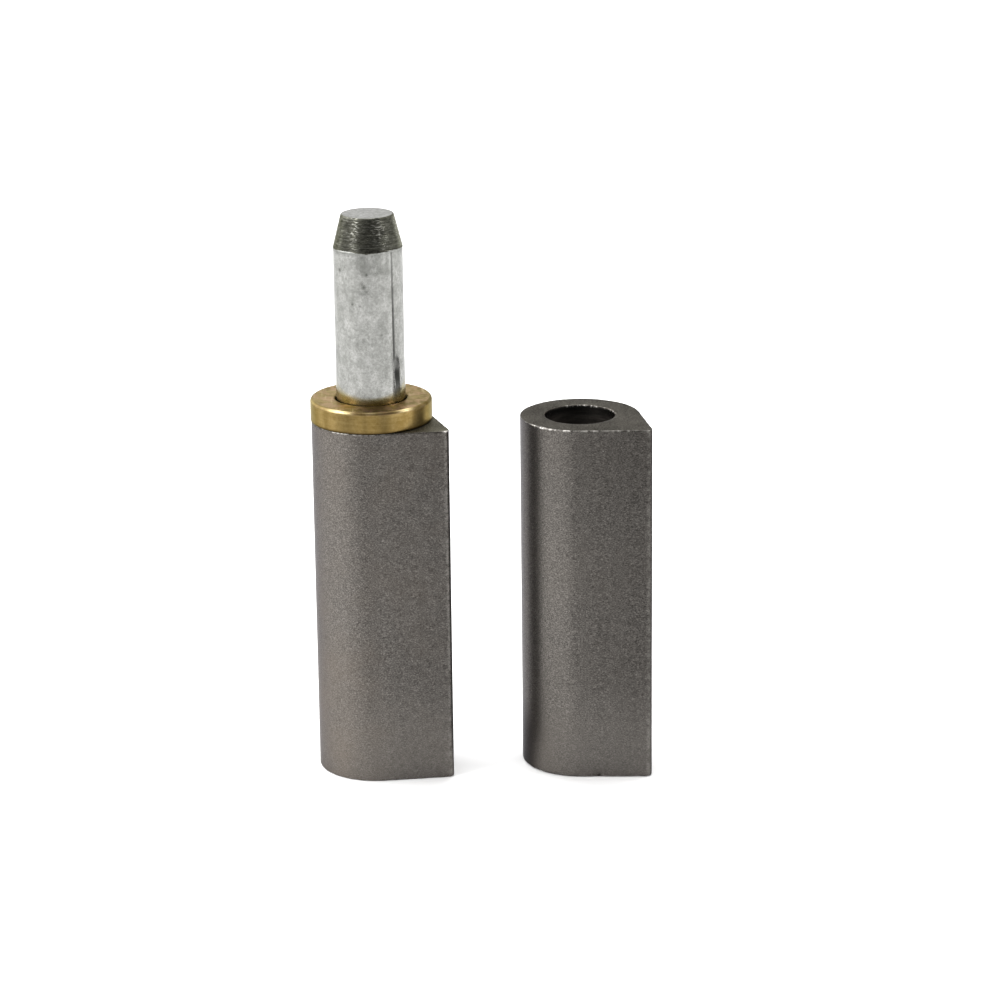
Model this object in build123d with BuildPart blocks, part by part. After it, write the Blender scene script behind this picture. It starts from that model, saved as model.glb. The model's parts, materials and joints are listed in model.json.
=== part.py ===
from build123d import *
import os
from math import cos, radians, sin, tan

# Weld-on lift-off barrel hinge, 100 mm closed length, teardrop profile 16 mm.
# The two halves stand side by side, lifted apart: pin half at the origin, socket
# half beside it along +X. +Z runs up the pin. Origin: pin axis at the base face.

# ---- teardrop bar ----
BARREL_R = 8.0             # round of the teardrop
BARREL_LEN = 48.5          # each half
NOSE_HALF_DEG = 39.6       # half of the angle between the two weld flats
NOSE_R = 0.9               # drawn radius of the nose
TOP_EDGE_R = 0.12          # tumbled edge at the upper end
PIN_BAR_BASE_R = 0.15      # tumbled edge at the pin half's lower end
SOCKET_BAR_BASE_R = 0.28   # tumbled edge at the socket half's lower end
PIN_NOSE_DEG = -33.5       # the way the pin half's nose points
SOCKET_NOSE_DEG = -42.2    # the way the socket half's nose points
SPACING = 27.7             # pin axis to socket axis as stored

# ---- pin ----
PIN_R = 4.6
PIN_LEN = 50.0
PIN_FREE = 20.45           # plated running length above the washer
CONE_H = 4.35              # bare turned lead-in cone
CONE_TOP_R = 3.5
CONE_EDGE_R = 0.2
PIN_FOOT_CHAMFER = 0.5
RELIEF_W = 0.75            # run-out relief between pressed shank and running length
RELIEF_D = 0.2
RELIEF_UNDER = 0.15        # below the washer's top face
GROOVE_DEG = -44.8
# groove sections from the cone down: height above the washer top, width, depth
GROOVE_TOP = (20.0, 0.34, 0.08)
GROOVE_NECK = (5.6, 0.48, 0.14)
GROOVE_SHOULDER = (4.4, 1.0, 0.42)
GROOVE_FOOT_W = 1.2
GROOVE_FOOT_D = 0.5

# ---- washer ----
WASHER_R = 8.1
WASHER_HOLE_R = 4.85
WASHER_T = 3.0
WASHER_CROWN_R = 0.4       # turned round on the upper outer edge
WASHER_BREAK = 0.15        # the other edges

# ---- bores ----
DRILL_DEG = 118.0
PRESS_GAP = 0.3            # below the pin's foot
SOCKET_R = 4.675
SOCKET_DEPTH = 27.0
SOCKET_BREAK = 0.1         # mouth edge
PRESS_BREAK = 0.25         # mouth edge, under the washer

washer_top = BARREL_LEN + WASHER_T
cone_z = washer_top + PIN_FREE
pin_top = cone_z + CONE_H
pin_foot = pin_top - PIN_LEN
press_floor = pin_foot - PRESS_GAP
press_tip = press_floor - PIN_R / tan(radians(DRILL_DEG / 2))
socket_floor = BARREL_LEN - SOCKET_DEPTH
socket_tip = socket_floor - SOCKET_R / tan(radians(DRILL_DEG / 2))

# corner points of the teardrop, nose along local +x
half = radians(NOSE_HALF_DEG)
flat_x, flat_y = BARREL_R * sin(half), BARREL_R * cos(half)
nose_c = (BARREL_R - NOSE_R) / sin(half)
nose_x, nose_y = nose_c + NOSE_R * sin(half), NOSE_R * cos(half)


def bar_plane(x, angle):
    return Plane(
        origin=(x, 0, 0),
        x_dir=(cos(radians(angle)), sin(radians(angle)), 0),
        z_dir=(0, 0, 1),
    )


# ---------------------------------------------------------------- lower barrel
with BuildPart() as lower_barrel:
    with BuildSketch(bar_plane(0, PIN_NOSE_DEG)):
        with BuildLine():
            ThreePointArc((flat_x, flat_y), (-BARREL_R, 0), (flat_x, -flat_y))
            Line((flat_x, -flat_y), (nose_x, -nose_y))
            ThreePointArc((nose_x, -nose_y), (nose_c + NOSE_R, 0), (nose_x, nose_y))
            Line((nose_x, nose_y), (flat_x, flat_y))
        make_face()
    extrude(amount=BARREL_LEN)
    fillet(lower_barrel.faces().sort_by(Axis.Z)[-1].edges(), radius=TOP_EDGE_R)
    fillet(lower_barrel.faces().sort_by(Axis.Z)[0].edges(), radius=PIN_BAR_BASE_R)
    # blind press bore with its drill point
    with BuildSketch(Plane.XZ):
        with BuildLine():
            Polyline(
                (0, press_tip),
                (PIN_R, press_floor),
                (PIN_R, BARREL_LEN - PRESS_BREAK),
                (PIN_R + PRESS_BREAK, BARREL_LEN),
                (PIN_R + PRESS_BREAK, BARREL_LEN + 1),
                (0, BARREL_LEN + 1),
                close=True,
            )
        make_face()
    revolve(axis=Axis.Z, mode=Mode.SUBTRACT)
lower_barrel.part.label = "lower_barrel"

# ------------------------------------------------------------------------- pin
with BuildPart() as pin:
    with BuildSketch(Plane.XZ):
        with BuildLine():
            Polyline(
                (0, pin_foot),
                (PIN_R - PIN_FOOT_CHAMFER, pin_foot),
                (PIN_R, pin_foot + PIN_FOOT_CHAMFER),
                (PIN_R, washer_top - RELIEF_UNDER - RELIEF_W),
                (PIN_R - RELIEF_D, washer_top - RELIEF_UNDER - RELIEF_W + RELIEF_D),
                (PIN_R - RELIEF_D, washer_top - RELIEF_UNDER - RELIEF_D),
                (PIN_R, washer_top - RELIEF_UNDER),
                (PIN_R, cone_z),
                (CONE_TOP_R, pin_top),
                (0, pin_top),
                close=True,
            )
        make_face()
    revolve(axis=Axis.Z)
    fillet(
        pin.edges().filter_by(GeomType.CIRCLE).sort_by(Axis.Z)[-1],
        radius=CONE_EDGE_R,
    )
    # tapering V groove, opening towards the pressed end
    for z, width, depth in (
        (washer_top + GROOVE_TOP[0], GROOVE_TOP[1], GROOVE_TOP[2]),
        (washer_top + GROOVE_NECK[0], GROOVE_NECK[1], GROOVE_NECK[2]),
        (washer_top + GROOVE_SHOULDER[0], GROOVE_SHOULDER[1], GROOVE_SHOULDER[2]),
        (pin_foot - 1, GROOVE_FOOT_W, GROOVE_FOOT_D),
    ):
        rise = 0.5 + depth
        with BuildSketch(
            Plane(
                origin=(0, 0, z),
                x_dir=(cos(radians(GROOVE_DEG)), sin(radians(GROOVE_DEG)), 0),
                z_dir=(0, 0, 1),
            )
        ):
            with BuildLine():
                Polyline(
                    (PIN_R - depth, 0),
                    (PIN_R - depth + rise, -width / 2 * rise / depth),
                    (PIN_R - depth + rise, width / 2 * rise / depth),
                    close=True,
                )
            make_face()
    loft(ruled=True, mode=Mode.SUBTRACT)
pin.part.label = "pin"

# ---------------------------------------------------------------- brass washer
with BuildPart() as brass_washer:
    with BuildSketch(Plane.XY.offset(BARREL_LEN)):
        Circle(WASHER_R)
        Circle(WASHER_HOLE_R, mode=Mode.SUBTRACT)
    extrude(amount=WASHER_T)
    rims = brass_washer.edges().filter_by(GeomType.CIRCLE)
    crown = rims.group_by(Axis.Z)[-1].sort_by(SortBy.RADIUS)[-1]
    others = (
        rims.group_by(Axis.Z)[-1].sort_by(SortBy.RADIUS)[:1]
        + rims.group_by(Axis.Z)[0]
    )
    fillet(crown, radius=WASHER_CROWN_R)
    chamfer(others, length=WASHER_BREAK)
brass_washer.part.label = "brass_washer"

# ---------------------------------------------------------------- upper barrel
with BuildPart() as upper_barrel:
    with BuildSketch(bar_plane(SPACING, SOCKET_NOSE_DEG)):
        with BuildLine():
            ThreePointArc((flat_x, flat_y), (-BARREL_R, 0), (flat_x, -flat_y))
            Line((flat_x, -flat_y), (nose_x, -nose_y))
            ThreePointArc((nose_x, -nose_y), (nose_c + NOSE_R, 0), (nose_x, nose_y))
            Line((nose_x, nose_y), (flat_x, flat_y))
        make_face()
    extrude(amount=BARREL_LEN)
    fillet(upper_barrel.faces().sort_by(Axis.Z)[-1].edges(), radius=TOP_EDGE_R)
    fillet(upper_barrel.faces().sort_by(Axis.Z)[0].edges(), radius=SOCKET_BAR_BASE_R)
    # blind running bore with its drill point, mouth upwards as stored
    with BuildSketch(Plane.XZ.offset(0).move(Location((SPACING, 0, 0)))):
        with BuildLine():
            Polyline(
                (0, socket_tip),
                (SOCKET_R, socket_floor),
                (SOCKET_R, BARREL_LEN - SOCKET_BREAK),
                (SOCKET_R + SOCKET_BREAK, BARREL_LEN),
                (SOCKET_R + SOCKET_BREAK, BARREL_LEN + 1),
                (0, BARREL_LEN + 1),
                close=True,
            )
        make_face()
    revolve(axis=Axis((SPACING, 0, 0), (0, 0, 1)), mode=Mode.SUBTRACT)
upper_barrel.part.label = "upper_barrel"

# ---------------------------------------------------------------------- export
os.makedirs("parts", exist_ok=True)
export_step(lower_barrel.part, "parts/lower_barrel.step")
export_step(pin.part, "parts/pin.step")
export_step(brass_washer.part, "parts/brass_washer.step")
export_step(upper_barrel.part, "parts/upper_barrel.step")
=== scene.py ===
import json
import math
import random

import bpy
import numpy as np
from mathutils import Matrix, Vector


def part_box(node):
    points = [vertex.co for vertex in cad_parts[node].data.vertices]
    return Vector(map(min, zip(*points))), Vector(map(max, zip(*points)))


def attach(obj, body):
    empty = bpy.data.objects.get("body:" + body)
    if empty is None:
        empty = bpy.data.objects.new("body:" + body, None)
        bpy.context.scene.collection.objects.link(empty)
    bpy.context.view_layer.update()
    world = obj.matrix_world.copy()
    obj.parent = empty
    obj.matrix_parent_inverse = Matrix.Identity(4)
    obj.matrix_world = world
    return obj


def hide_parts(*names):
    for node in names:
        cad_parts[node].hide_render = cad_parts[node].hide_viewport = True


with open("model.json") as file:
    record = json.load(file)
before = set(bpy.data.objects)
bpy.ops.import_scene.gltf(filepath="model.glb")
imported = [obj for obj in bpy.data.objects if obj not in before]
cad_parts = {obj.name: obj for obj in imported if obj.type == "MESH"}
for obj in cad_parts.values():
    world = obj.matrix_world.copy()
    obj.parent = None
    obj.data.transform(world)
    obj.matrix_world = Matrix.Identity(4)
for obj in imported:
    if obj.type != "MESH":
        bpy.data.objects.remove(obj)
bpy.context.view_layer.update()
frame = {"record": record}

scene = bpy.context.scene
record = frame["record"]
MM = 0.001


def joint(name):
    return next(j for j in record["behaviour"]["joints"] if j["name"] == name)


def mount(name):
    return next(m for m in record["mounts"] if m["name"] == name)


# ------------------------------------------------------------ sizes from the frame
low_lo, low_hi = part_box("lower_barrel")
up_lo, up_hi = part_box("upper_barrel")
pin_lo, pin_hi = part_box("pin")
was_lo, was_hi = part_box("brass_washer")

PIN_X, PIN_Y = mount("pin")["pos_m"][:2]
SOC_X, SOC_Y = mount("socket_bore")["pos_m"][:2]
BAR_H = low_hi[2] - low_lo[2]
BAR_R = PIN_X - low_lo[0]                       # the round side faces -X
PIN_R = mount("pin")["dims"]["r_mm"] * MM
SOCKET_R = mount("socket_bore")["dims"]["r_mm"] * MM
SOCKET_L = mount("socket_bore")["dims"]["length_mm"] * MM
WASHER_R = (was_hi[0] - was_lo[0]) / 2
WASHER_T = was_hi[2] - was_lo[2]
WASHER_TOP = was_hi[2]
PIN_TOP, PIN_FOOT = pin_hi[2], pin_lo[2]
CONE_Z = mount("pin")["pos_m"][2] + 20.45 * MM
CONE_TOP_R = 3.5 * MM
HALF = math.radians(39.6)                       # half angle between the weld flats
NOSE_R = 0.9 * MM


def flat_angle(name):
    a = mount(name)["axis"]
    return math.atan2(a[1], a[0])


# a nose points halfway between its two weld flats' outward normals
LOW_NOSE = (flat_angle("pin_half_weld_flat_a") + flat_angle("pin_half_weld_flat_b")) / 2
UP_NOSE = (flat_angle("socket_half_weld_flat_a") + flat_angle("socket_half_weld_flat_b")) / 2


# ------------------------------------------------------------ small helpers
def wave_noise(seed, n, lo, hi):
    """A smooth repeatable noise of one angle (period 2 pi) and one length in mm: a sum of sines."""
    r = random.Random(seed)
    terms = [
        (r.randint(0, int(hi)), r.uniform(lo, hi) * r.choice((-1, 1)) * 0.25,
         r.uniform(0, 2 * math.pi), r.uniform(0.5, 1.0))
        for _ in range(n)
    ]
    total = math.sqrt(sum(t[3] ** 2 for t in terms) / 2)

    def f(angle, mm):
        s = 0.0
        for ka, kz, ph, amp in terms:
            s = s + amp * np.sin(ka * angle + kz * mm + ph)
        return s / total

    return f


def smooth(a, b, x):
    t = np.clip((x - a) / (b - a), 0, 1)
    return t * t * (3 - 2 * t)


def grid_faces(rows, cols, base=0):
    """Quads between rows of closed loops."""
    out = []
    for r in range(rows - 1):
        for c in range(cols):
            d = (c + 1) % cols
            out.append((base + r * cols + c, base + r * cols + d,
                        base + (r + 1) * cols + d, base + (r + 1) * cols + c))
    return out


def make_mesh(name, verts, faces, attrs=None, mats=(), face_mat=None):
    me = bpy.data.meshes.new(name)
    me.from_pydata([tuple(v) for v in verts], [], faces)
    me.update()
    me.polygons.foreach_set("use_smooth", [True] * len(me.polygons))
    for m in mats:
        me.materials.append(m)
    if face_mat is not None:
        me.polygons.foreach_set("material_index", [int(i) for i in face_mat])
    for key, val in (attrs or {}).items():
        at = me.attributes.new(key, "FLOAT", "POINT")
        at.data.foreach_set("value", np.asarray(val, dtype=np.float32))
    ob = bpy.data.objects.new(name, me)
    scene.collection.objects.link(ob)
    return ob


# ------------------------------------------------------------ node helpers
class Nodes:
    def __init__(self, name):
        self.mat = bpy.data.materials.new(name)
        self.mat.use_nodes = True
        self.t = self.mat.node_tree
        self.bsdf = self.t.nodes["Principled BSDF"]
        self.coord = self.t.nodes.new("ShaderNodeTexCoord").outputs["Object"]

    def link(self, a, b):
        self.t.links.new(a, b)

    def put(self, socket, value):
        if isinstance(value, bpy.types.NodeSocket):
            self.link(value, socket)
        else:
            socket.default_value = value

    def mapping(self, scale, rot=(0, 0, 0), loc=(0, 0, 0), src=None):
        n = self.t.nodes.new("ShaderNodeMapping")
        self.link(src or self.coord, n.inputs["Vector"])
        n.inputs["Scale"].default_value = scale
        n.inputs["Rotation"].default_value = rot
        n.inputs["Location"].default_value = loc
        return n.outputs["Vector"]

    def noise(self, scale, detail=2.0, rough=0.5, vec=None, dist=0.0):
        n = self.t.nodes.new("ShaderNodeTexNoise")
        self.link(vec or self.coord, n.inputs["Vector"])
        n.inputs["Scale"].default_value = scale
        n.inputs["Detail"].default_value = detail
        n.inputs["Roughness"].default_value = rough
        n.inputs["Distortion"].default_value = dist
        return n.outputs["Fac"]

    def voronoi(self, scale, vec=None, feature="F1", out="Distance", rand=1.0):
        n = self.t.nodes.new("ShaderNodeTexVoronoi")
        n.feature = feature
        self.link(vec or self.coord, n.inputs["Vector"])
        n.inputs["Scale"].default_value = scale
        n.inputs["Randomness"].default_value = rand
        return n.outputs[out]

    def ramp(self, src, stops, mode="LINEAR"):
        n = self.t.nodes.new("ShaderNodeValToRGB")
        n.color_ramp.interpolation = mode
        els = n.color_ramp.elements
        while len(els) > 1:
            els.remove(els[-1])
        first = True
        for pos, col in stops:
            c = (col, col, col, 1) if not isinstance(col, (tuple, list)) else (*col, 1)
            e = els[0] if first else els.new(pos)
            e.position = pos
            e.color = c
            first = False
        self.link(src, n.inputs["Fac"])
        return n.outputs["Color"]

    def math(self, op, a, b=None, clamp=False):
        n = self.t.nodes.new("ShaderNodeMath")
        n.operation = op
        n.use_clamp = clamp
        self.put(n.inputs[0], a)
        if b is not None:
            self.put(n.inputs[1], b)
        return n.outputs[0]

    def remap(self, src, a, b, c, d, kind="LINEAR"):
        n = self.t.nodes.new("ShaderNodeMapRange")
        n.interpolation_type = kind
        self.link(src, n.inputs["Value"])
        for key, v in zip(("From Min", "From Max", "To Min", "To Max"), (a, b, c, d)):
            n.inputs[key].default_value = v
        return n.outputs["Result"]

    def mix(self, fac, a, b, blend="MIX"):
        n = self.t.nodes.new("ShaderNodeMix")
        n.data_type = "RGBA"
        n.blend_type = blend
        self.put(n.inputs[0], fac)
        for s, v in ((n.inputs[6], a), (n.inputs[7], b)):
            if isinstance(v, bpy.types.NodeSocket):
                self.link(v, s)
            else:
                s.default_value = (*v, 1) if len(v) == 3 else v
        return n.outputs[2]

    def attr(self, name):
        n = self.t.nodes.new("ShaderNodeAttribute")
        n.attribute_name = name
        return n.outputs["Fac"]

    def xyz(self, src=None):
        n = self.t.nodes.new("ShaderNodeSeparateXYZ")
        self.link(src or self.coord, n.inputs[0])
        return n.outputs

    def bump(self, height, strength, distance, normal=None):
        n = self.t.nodes.new("ShaderNodeBump")
        self.link(height, n.inputs["Height"])
        n.inputs["Strength"].default_value = strength
        n.inputs["Distance"].default_value = distance
        if normal is not None:
            self.link(normal, n.inputs["Normal"])
        return n.outputs["Normal"]


# ------------------------------------------------------------ materials
def bar_steel(name, light, dark, warm, z_lo, z_hi, x_lo, x_hi, rough_lo, rough_hi, flat_painted_shade, foot_painted_light,
              top_painted_shade):
    """Bare drawn steel, tumbled: fine pitted grain, slow warm and cool patches, bright rubbed edges with painted
    highlights; painted shade on the flats and top, painted light at the foot.
    """
    k = Nodes(name)
    grain = k.noise(5000, 2.0, 0.7, k.mapping((0.95, 0.95, 1.75)))
    worm = k.noise(3000, 2.0, 0.6, k.mapping((1.0, 1.0, 1.5)), 1.2)
    coarse = k.noise(1100, 3.0, 0.6)
    cloud = k.noise(120, 3.0, 0.55)
    drawn = k.noise(330, 2.0, 0.5, k.mapping((1.0, 1.0, 0.05)))
    tone = k.math("ADD", k.math("MULTIPLY", grain, 0.70), k.math("MULTIPLY", worm, 0.27))
    tone = k.math("ADD", tone, k.math("MULTIPLY", coarse, 0.03))
    mid = tuple(0.47 * p + 0.53 * q for p, q in zip(light, dark))
    base = k.ramp(tone, [(0.34, dark), (0.51, mid), (0.61, light), (0.73, tuple(1.5 * v for v in light))])
    base = k.mix(k.remap(k.attr("flat"), 0.0, 0.9, 0.28, 0.14), base, mid)
    base = k.mix(k.remap(cloud, 0.42, 0.68, 0.0, 0.32), base, k.mix(0.55, base, warm))
    base = k.mix(k.remap(drawn, 0.35, 0.65, 0.0, 0.12), base, k.mix(0.5, base, dark))
    # painted shade: the flats are made darker than the round side
    base = k.mix(k.math("MULTIPLY", k.attr("flat"), flat_painted_shade), base, (0.0, 0.0, 0.0))
    # painted light: the lower end is made lighter, against the floor's shade there
    foot = k.remap(k.xyz()[2], 0.0, 0.017, foot_painted_light, 0.0, "SMOOTHSTEP")
    foot = k.math("MULTIPLY", foot, k.remap(k.attr("flat"), 0.0, 0.8, 0.35, 1.0))
    base = k.mix(foot, base, tuple(1.25 * v for v in light))
    # painted shade: darker towards the top
    base = k.mix(k.remap(k.xyz()[2], 0.026, 0.049, 0.0, top_painted_shade, "SMOOTHSTEP"), base, (0.0, 0.0, 0.0))
    # warmer and lighter towards the lower end of the round side
    p = k.xyz()
    low = k.remap(p[2], z_lo, z_hi, 1.0, 0.0, "SMOOTHSTEP")
    side = k.remap(p[0], x_lo, x_hi, 1.0, 0.0, "SMOOTHSTEP")
    stain = k.math("MULTIPLY", k.math("MULTIPLY", low, side), k.remap(cloud, 0.3, 0.7, 0.35, 1.0))
    base = k.mix(k.math("MULTIPLY", stain, 0.45), base, warm)
    # specks: a few darker pits, and painted glints: a few bright spots standing in for sparkle
    pit = k.remap(k.voronoi(620), 0.03, 0.10, 1.0, 0.0)
    pit = k.math("MULTIPLY", pit, k.remap(k.noise(240, 1.0), 0.60, 0.66, 0.0, 1.0))
    base = k.mix(k.math("MULTIPLY", pit, 0.5), base, (0.018, 0.016, 0.014))
    painted_glint = k.remap(k.voronoi(1500), 0.05, 0.11, 1.0, 0.0)
    painted_glint = k.math("MULTIPLY", painted_glint, k.remap(k.noise(700, 1.0), 0.60, 0.68, 0.0, 1.0))
    base = k.mix(k.math("MULTIPLY", painted_glint, 0.5), base, (0.30, 0.29, 0.27))
    # painted shade at the nose, the foot and the upper edge; darker at the chips near the base
    base = k.mix(k.attr("grime_and_shade"), base, (0.012, 0.010, 0.008))
    # rubbed edges, and painted highlights along the edges and beside the nose
    wear_and_highlight = k.attr("wear_and_highlight")
    broken = k.remap(k.noise(1300, 3.0, 0.65), 0.40, 0.58, 0.0, 1.0)
    rub = k.math("MULTIPLY", wear_and_highlight, broken, clamp=True)
    base = k.mix(rub, base, (0.47, 0.45, 0.42))
    k.link(base, k.bsdf.inputs["Base Color"])
    rough = k.remap(tone, 0.3, 0.7, rough_hi, rough_lo)
    rough = k.math("SUBTRACT", rough, k.math("MULTIPLY", rub, 0.12))
    k.link(rough, k.bsdf.inputs["Roughness"])
    k.bsdf.inputs["Metallic"].default_value = 1.0
    k.bsdf.inputs["Specular Tint"].default_value = (0.55, 0.55, 0.57, 1)
    h = k.math("ADD", k.math("MULTIPLY", grain, 0.6), k.math("MULTIPLY", worm, 0.4))
    h = k.math("SUBTRACT", h, k.math("MULTIPLY", pit, 0.8))
    n = k.bump(h, 0.9, 0.00003)
    n = k.bump(drawn, 0.25, 0.00004, n)
    k.link(n, k.bsdf.inputs["Normal"])
    return k.mat


def end_steel(name, light, dark):
    """A sawn and tumbled end face: the same steel, with faint saw lines."""
    k = Nodes(name)
    grain = k.noise(4600, 3.0, 0.7)
    blot = k.noise(420, 3.0, 0.6)
    saw = k.noise(900, 2.0, 0.5, k.mapping((1.0, 0.06, 1.0), rot=(0, 0, 0.5)))
    tone = k.math("ADD", k.math("MULTIPLY", grain, 0.82), k.math("MULTIPLY", blot, 0.18))
    base = k.ramp(tone, [(0.37, dark), (0.50, tuple((p + q) / 2 for p, q in zip(light, dark))), (0.60, light),
                         (0.70, tuple(1.6 * v for v in light))])
    base = k.mix(k.remap(saw, 0.45, 0.75, 0.0, 0.3), base, light)
    # darkening from the mesh, which carries painted shade; then rubbed edges, with painted highlights round the bore's
    # mouth
    base = k.mix(k.attr("grime_and_shade"), base, (0.012, 0.010, 0.008))
    wear_and_highlight = k.attr("wear_and_highlight")
    broken = k.remap(k.noise(1300, 3.0, 0.65), 0.42, 0.60, 0.0, 1.0)
    rub = k.math("MULTIPLY", wear_and_highlight, broken, clamp=True)
    base = k.mix(rub, base, (0.42, 0.40, 0.36))
    k.link(base, k.bsdf.inputs["Base Color"])
    k.link(k.math("SUBTRACT", k.remap(tone, 0.3, 0.7, 0.52, 0.42), k.math("MULTIPLY", rub, 0.15)),
           k.bsdf.inputs["Roughness"])
    k.bsdf.inputs["Metallic"].default_value = 1.0
    k.bsdf.inputs["Specular Tint"].default_value = (0.4, 0.4, 0.4, 1)
    h = k.math("ADD", tone, k.math("MULTIPLY", saw, 0.5))
    k.link(k.bump(h, 0.8, 0.00003), k.bsdf.inputs["Normal"])
    return k.mat


def bore_steel(name):
    """The drilled bore: dark oiled steel with faint rings from the drill."""
    k = Nodes(name)
    rings = k.noise(2600, 2.0, 0.6, k.mapping((0.12, 0.12, 1.0)))
    blot = k.noise(500, 3.0, 0.6)
    base = k.mix(k.remap(rings, 0.35, 0.7, 0, 1), (0.055, 0.050, 0.045), (0.125, 0.110, 0.096))
    base = k.mix(k.remap(blot, 0.5, 0.7, 0.0, 0.5), base, (0.05, 0.044, 0.038))
    # painted shade: the bore darkened below its mouth
    base = k.mix(k.attr("grime_and_shade"), base, (0.006, 0.006, 0.006))
    # painted highlights round the bore's mouth
    wear_and_highlight = k.attr("wear_and_highlight")
    broken = k.remap(k.noise(2300, 3.0, 0.65), 0.45, 0.56, 0.0, 1.0)
    base = k.mix(k.math("MULTIPLY", wear_and_highlight, broken, clamp=True), base, (0.5, 0.48, 0.45))
    k.link(base, k.bsdf.inputs["Base Color"])
    k.link(k.remap(blot, 0.3, 0.7, 0.42, 0.55), k.bsdf.inputs["Roughness"])
    k.bsdf.inputs["Metallic"].default_value = 1.0
    k.bsdf.inputs["Specular Tint"].default_value = (0.15, 0.15, 0.15, 1)
    k.link(k.bump(rings, 0.5, 0.00003), k.bsdf.inputs["Normal"])
    return k.mat


def zinc_plate(name):
    """Bright zinc plate: mottled, with dark specks and a few rub marks."""
    k = Nodes(name)
    cloud = k.noise(640, 5.0, 0.76, k.mapping((1.0, 1.0, 0.88)), 0.2)
    streak = k.noise(1500, 3.0, 0.6, k.mapping((1.0, 1.0, 0.16)))
    fine = k.noise(3300, 3.0, 0.65)
    rubs = k.noise(2200, 2.0, 0.6, k.mapping((0.7, 0.7, 1.4)))
    base = k.mix(k.remap(cloud, 0.32, 0.62, 0, 1), (0.172, 0.175, 0.163), (0.340, 0.340, 0.326))
    base = k.mix(k.remap(streak, 0.40, 0.60, 0.0, 0.12), base, (0.16, 0.163, 0.150))
    base = k.mix(k.remap(fine, 0.34, 0.58, 0.58, 0.0), base, (0.15, 0.152, 0.14))
    base = k.mix(k.remap(rubs, 0.58, 0.72, 0.0, 0.16), base, (0.46, 0.46, 0.45))
    spots = k.remap(k.voronoi(900), 0.05, 0.16, 1.0, 0.0)
    spots = k.math("MULTIPLY", spots, k.remap(k.noise(420, 1.0), 0.50, 0.60, 0.0, 1.0))
    base = k.mix(k.math("MULTIPLY", spots, 0.55), base, (0.10, 0.102, 0.09))
    # dark specks, and painted shade along the top of the plate
    speck_and_shade = k.attr("speck_and_shade")
    base = k.mix(k.math("MULTIPLY", speck_and_shade, k.remap(fine, 0.3, 0.6, 0.6, 1.0), clamp=True),
                 base, (0.05, 0.052, 0.045))
    base = k.mix(k.math("MULTIPLY", k.attr("wear_and_highlight"), 0.7), base, (0.62, 0.62, 0.60))
    # painted shade in the pressed groove
    groove = k.attr("groove")
    base = k.mix(k.math("MULTIPLY", groove, 0.92), base, (0.012, 0.013, 0.011))
    # painted reflection: the washer's colour painted into the pin's foot
    tint = k.mix(k.attr("washer_painted_reflection"), (1.0, 1.0, 1.0), (0.95, 0.80, 0.37))
    base = k.mix(1.0, base, tint, "MULTIPLY")
    k.link(base, k.bsdf.inputs["Base Color"])
    rough = k.math("ADD", k.remap(cloud, 0.3, 0.7, 0.27, 0.19), k.math("MULTIPLY", speck_and_shade, 0.2))
    k.link(k.math("ADD", rough, k.math("MULTIPLY", groove, 0.3)), k.bsdf.inputs["Roughness"])
    k.bsdf.inputs["Metallic"].default_value = 1.0
    k.bsdf.inputs["Specular Tint"].default_value = (0.7, 0.7, 0.7, 1)
    h = k.math("ADD", k.math("MULTIPLY", cloud, 0.7), k.math("MULTIPLY", fine, 0.3))
    k.link(k.bump(h, 0.6, 0.00003), k.bsdf.inputs["Normal"])
    return k.mat


def turned_steel(name):
    """The bare turned cone: dark oily steel with fine irregular tool rings."""
    k = Nodes(name)
    rings = k.noise(5600, 2.0, 0.6, k.mapping((0.05, 0.05, 1.0)))
    torn = k.noise(2600, 3.0, 0.65, k.mapping((0.5, 0.5, 1.2)))
    blot = k.noise(520, 3.0, 0.6)
    base = k.mix(k.remap(torn, 0.36, 0.66, 0, 1), (0.016, 0.016, 0.0125), (0.088, 0.088, 0.071))
    base = k.mix(k.remap(rings, 0.5, 0.75, 0.0, 0.5), base, (0.15, 0.15, 0.13))
    base = k.mix(k.remap(blot, 0.45, 0.7, 0.0, 0.5), base, (0.05, 0.05, 0.04))
    wear_and_highlight = k.attr("wear_and_highlight")
    broken = k.remap(k.noise(4300, 3.0, 0.62, k.mapping((0.40, 0.40, 1.7))), 0.53, 0.63, 0.0, 1.0)
    # painted highlight at the cone's right limb, carried in the groove attribute
    limb_painted_highlight = k.attr("groove")
    # painted shade on the cone's front
    base = k.mix(k.attr("speck_and_shade"), base, (0.010, 0.010, 0.008))
    base = k.mix(limb_painted_highlight, base, (0.30, 0.30, 0.255))
    # painted glints in patches, and painted highlights on the top edge
    base = k.mix(k.math("MULTIPLY", wear_and_highlight, broken, clamp=True), base, (0.37, 0.365, 0.33))
    k.link(base, k.bsdf.inputs["Base Color"])
    k.link(k.remap(torn, 0.3, 0.7, 0.38, 0.24), k.bsdf.inputs["Roughness"])
    k.bsdf.inputs["Metallic"].default_value = 1.0
    k.bsdf.inputs["Specular Tint"].default_value = (0.6, 0.6, 0.55, 1)
    h = k.math("ADD", k.math("MULTIPLY", rings, 0.6), k.math("MULTIPLY", torn, 0.4))
    k.link(k.bump(h, 0.9, 0.00006), k.bsdf.inputs["Normal"])
    return k.mat


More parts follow.
